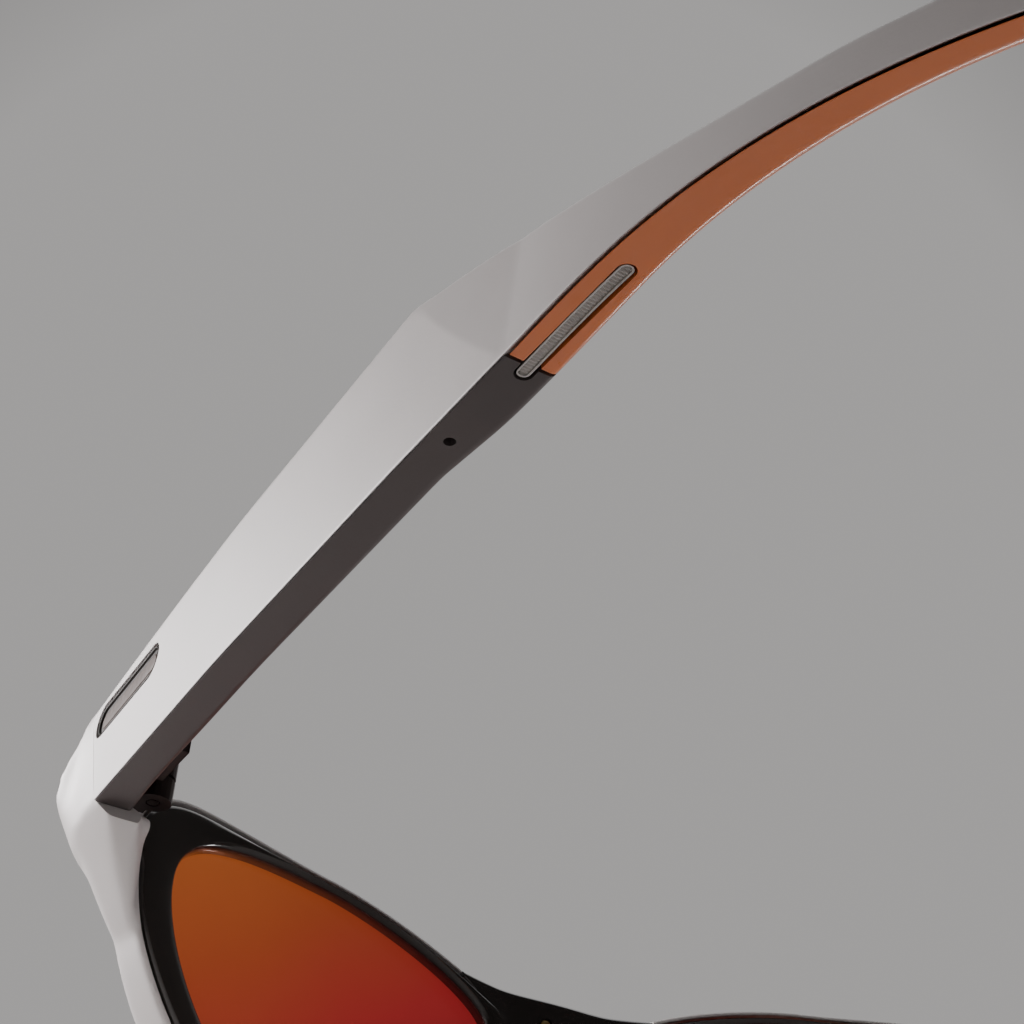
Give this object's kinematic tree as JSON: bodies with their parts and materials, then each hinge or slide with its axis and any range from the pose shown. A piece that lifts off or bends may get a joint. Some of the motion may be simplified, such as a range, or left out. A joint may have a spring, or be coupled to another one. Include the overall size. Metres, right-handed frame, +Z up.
{
  "type": "wraparound sport sunglasses",
  "caption": "Wraparound sport sunglasses with folding audio temples, mirrored lenses, grilles, a press button and a power slider.",
  "frame": {"origin": "centre of the bounding box in plan, at the level of the surface that the rims and the ear tips stand on", "axes": "+X to the wearer's left, +Y from the lenses towards the ears, +Z up; the temples lean down to the rear by about four and a half degrees"},
  "size_m": [0.1454, 0.1702, 0.0431],
  "materials": {
    "shell": "satin",
    "underside": "matte",
    "cover": "gloss",
    "ear": "gloss",
    "mirror_lens": "mirror coated",
    "steel": "satin",
    "speaker_mesh": "fine mesh",
    "badge": "anodised",
    "nose_rubber": "matte",
    "battery_foil": "foil",
    "board": "solder mask",
    "black_plastic": "matte",
    "contact_gold": "polished"
  },
  "bodies": {
    "front": {"charge_contact_1": "contact_gold", "charge_contact_2": "contact_gold", "frame_leaf_screw_left": "steel", "frame_leaf_screw_right": "steel", "front_frame": "shell", "hinge_frame_left": "steel", "hinge_frame_right": "steel", "hinge_screw_left": "steel", "hinge_screw_right": "steel", "lens_left": "mirror_lens", "lens_right": "mirror_lens", "nose_pad_left": "nose_rubber", "nose_pad_right": "nose_rubber", "rear_cover": "cover"},
    "temple_left": {"badge_left": "badge", "battery_left": "battery_foil", "circuit_board_left": "board", "core_strip_left": "steel", "ear_section_left": "ear", "hinge_temple_left": "steel", "microphone_left": "black_plastic", "speaker_driver_left": "black_plastic", "speaker_grille_left": "speaker_mesh", "speaker_ribbon_left": "contact_gold", "temple_cover_left": "underside", "temple_leaf_screw_left": "steel", "temple_shell_left": "shell"},
    "temple_right": {"badge_right": "badge", "battery_right": "battery_foil", "circuit_board_right": "board", "core_strip_right": "steel", "ear_section_right": "ear", "hinge_temple_right": "steel", "microphone_right": "black_plastic", "speaker_driver_right": "black_plastic", "speaker_grille_right": "speaker_mesh", "speaker_ribbon_right": "contact_gold", "temple_cover_right": "underside", "temple_leaf_screw_right": "steel", "temple_shell_right": "shell", "button_dome": "steel"},
    "button": {"function_button": "underside"},
    "switch": {"power_switch": "black_plastic"}
  },
  "joints": [
    {"name": "left_temple_fold", "type": "hinge", "parent": "front", "child": "temple_left", "pos_m": [0.0648, -0.05475, 0.02841], "axis": [0, 0.0768, 0.997], "range_deg": [0, 88]},
    {"name": "right_temple_fold", "type": "hinge", "parent": "front", "child": "temple_right", "pos_m": [-0.0648, -0.05475, 0.02841], "axis": [0, -0.0768, -0.997], "range_deg": [0, 74]},
    {"name": "function_button_press", "type": "slide", "parent": "temple_right", "child": "button", "axis": [0, -0.0768, -0.997], "range_m": [0, 0.0004], "stiffness_N_per_m": 500},
    {"name": "power_switch_slide", "type": "slide", "parent": "temple_left", "child": "switch", "axis": [0, 0.997, -0.0768], "range_m": [0, 0.002]}
  ]
}
